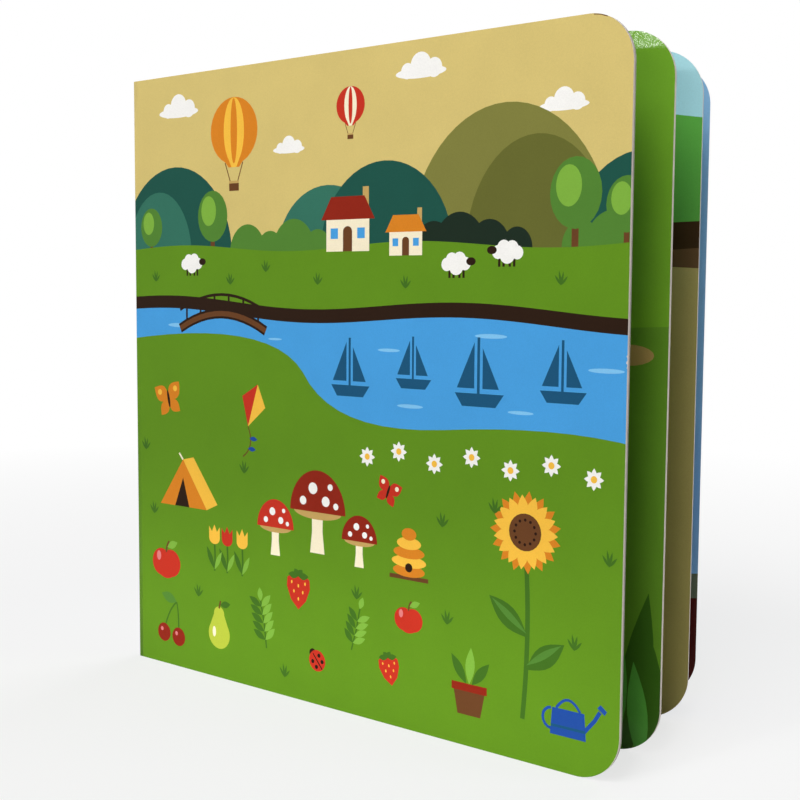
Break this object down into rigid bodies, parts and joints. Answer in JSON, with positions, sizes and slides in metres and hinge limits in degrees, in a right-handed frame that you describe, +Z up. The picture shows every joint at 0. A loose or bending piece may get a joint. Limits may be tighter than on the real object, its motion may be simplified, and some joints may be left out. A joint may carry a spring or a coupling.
{
  "type": "board book",
  "caption": "Children's board book standing fanned open on its edges: hinged stiff covers, a narrow spine and thick card leaves with rounded fore-edge corners.",
  "frame": {"origin": "middle of the footprint, on the surface that the book stands on", "axes": "+X from the spine to the fore edges along the middle of the fan, +Y from the front cover to the back cover, +Z up along the spine"},
  "size_m": [0.1902, 0.083, 0.2],
  "materials": {
    "front_cover_print": "printed card under a glossy film",
    "page_print": "printed card under a glossy film, pale cut edges",
    "back_cover_print": "printed card under a glossy film",
    "spine_print": "printed card under a glossy film, creased"
  },
  "bodies": {
    "bound_spine": {"spine": "spine_print", "page_block": "page_print"},
    "front_cover": {"front_cover": "front_cover_print"},
    "back_cover": {"back_cover": "back_cover_print"}
  },
  "joints": [
    {"name": "front_cover_hinge", "type": "hinge", "parent": "bound_spine", "child": "front_cover", "pos_m": [-0.0945, -0.00285, 0.1], "axis": [0, 0, -1], "range_deg": [-7.2, 165]},
    {"name": "back_cover_hinge", "type": "hinge", "parent": "bound_spine", "child": "back_cover", "pos_m": [-0.0945, 0.00285, 0.1], "axis": [0, 0, 1], "range_deg": [-5.8, 165]}
  ]
}
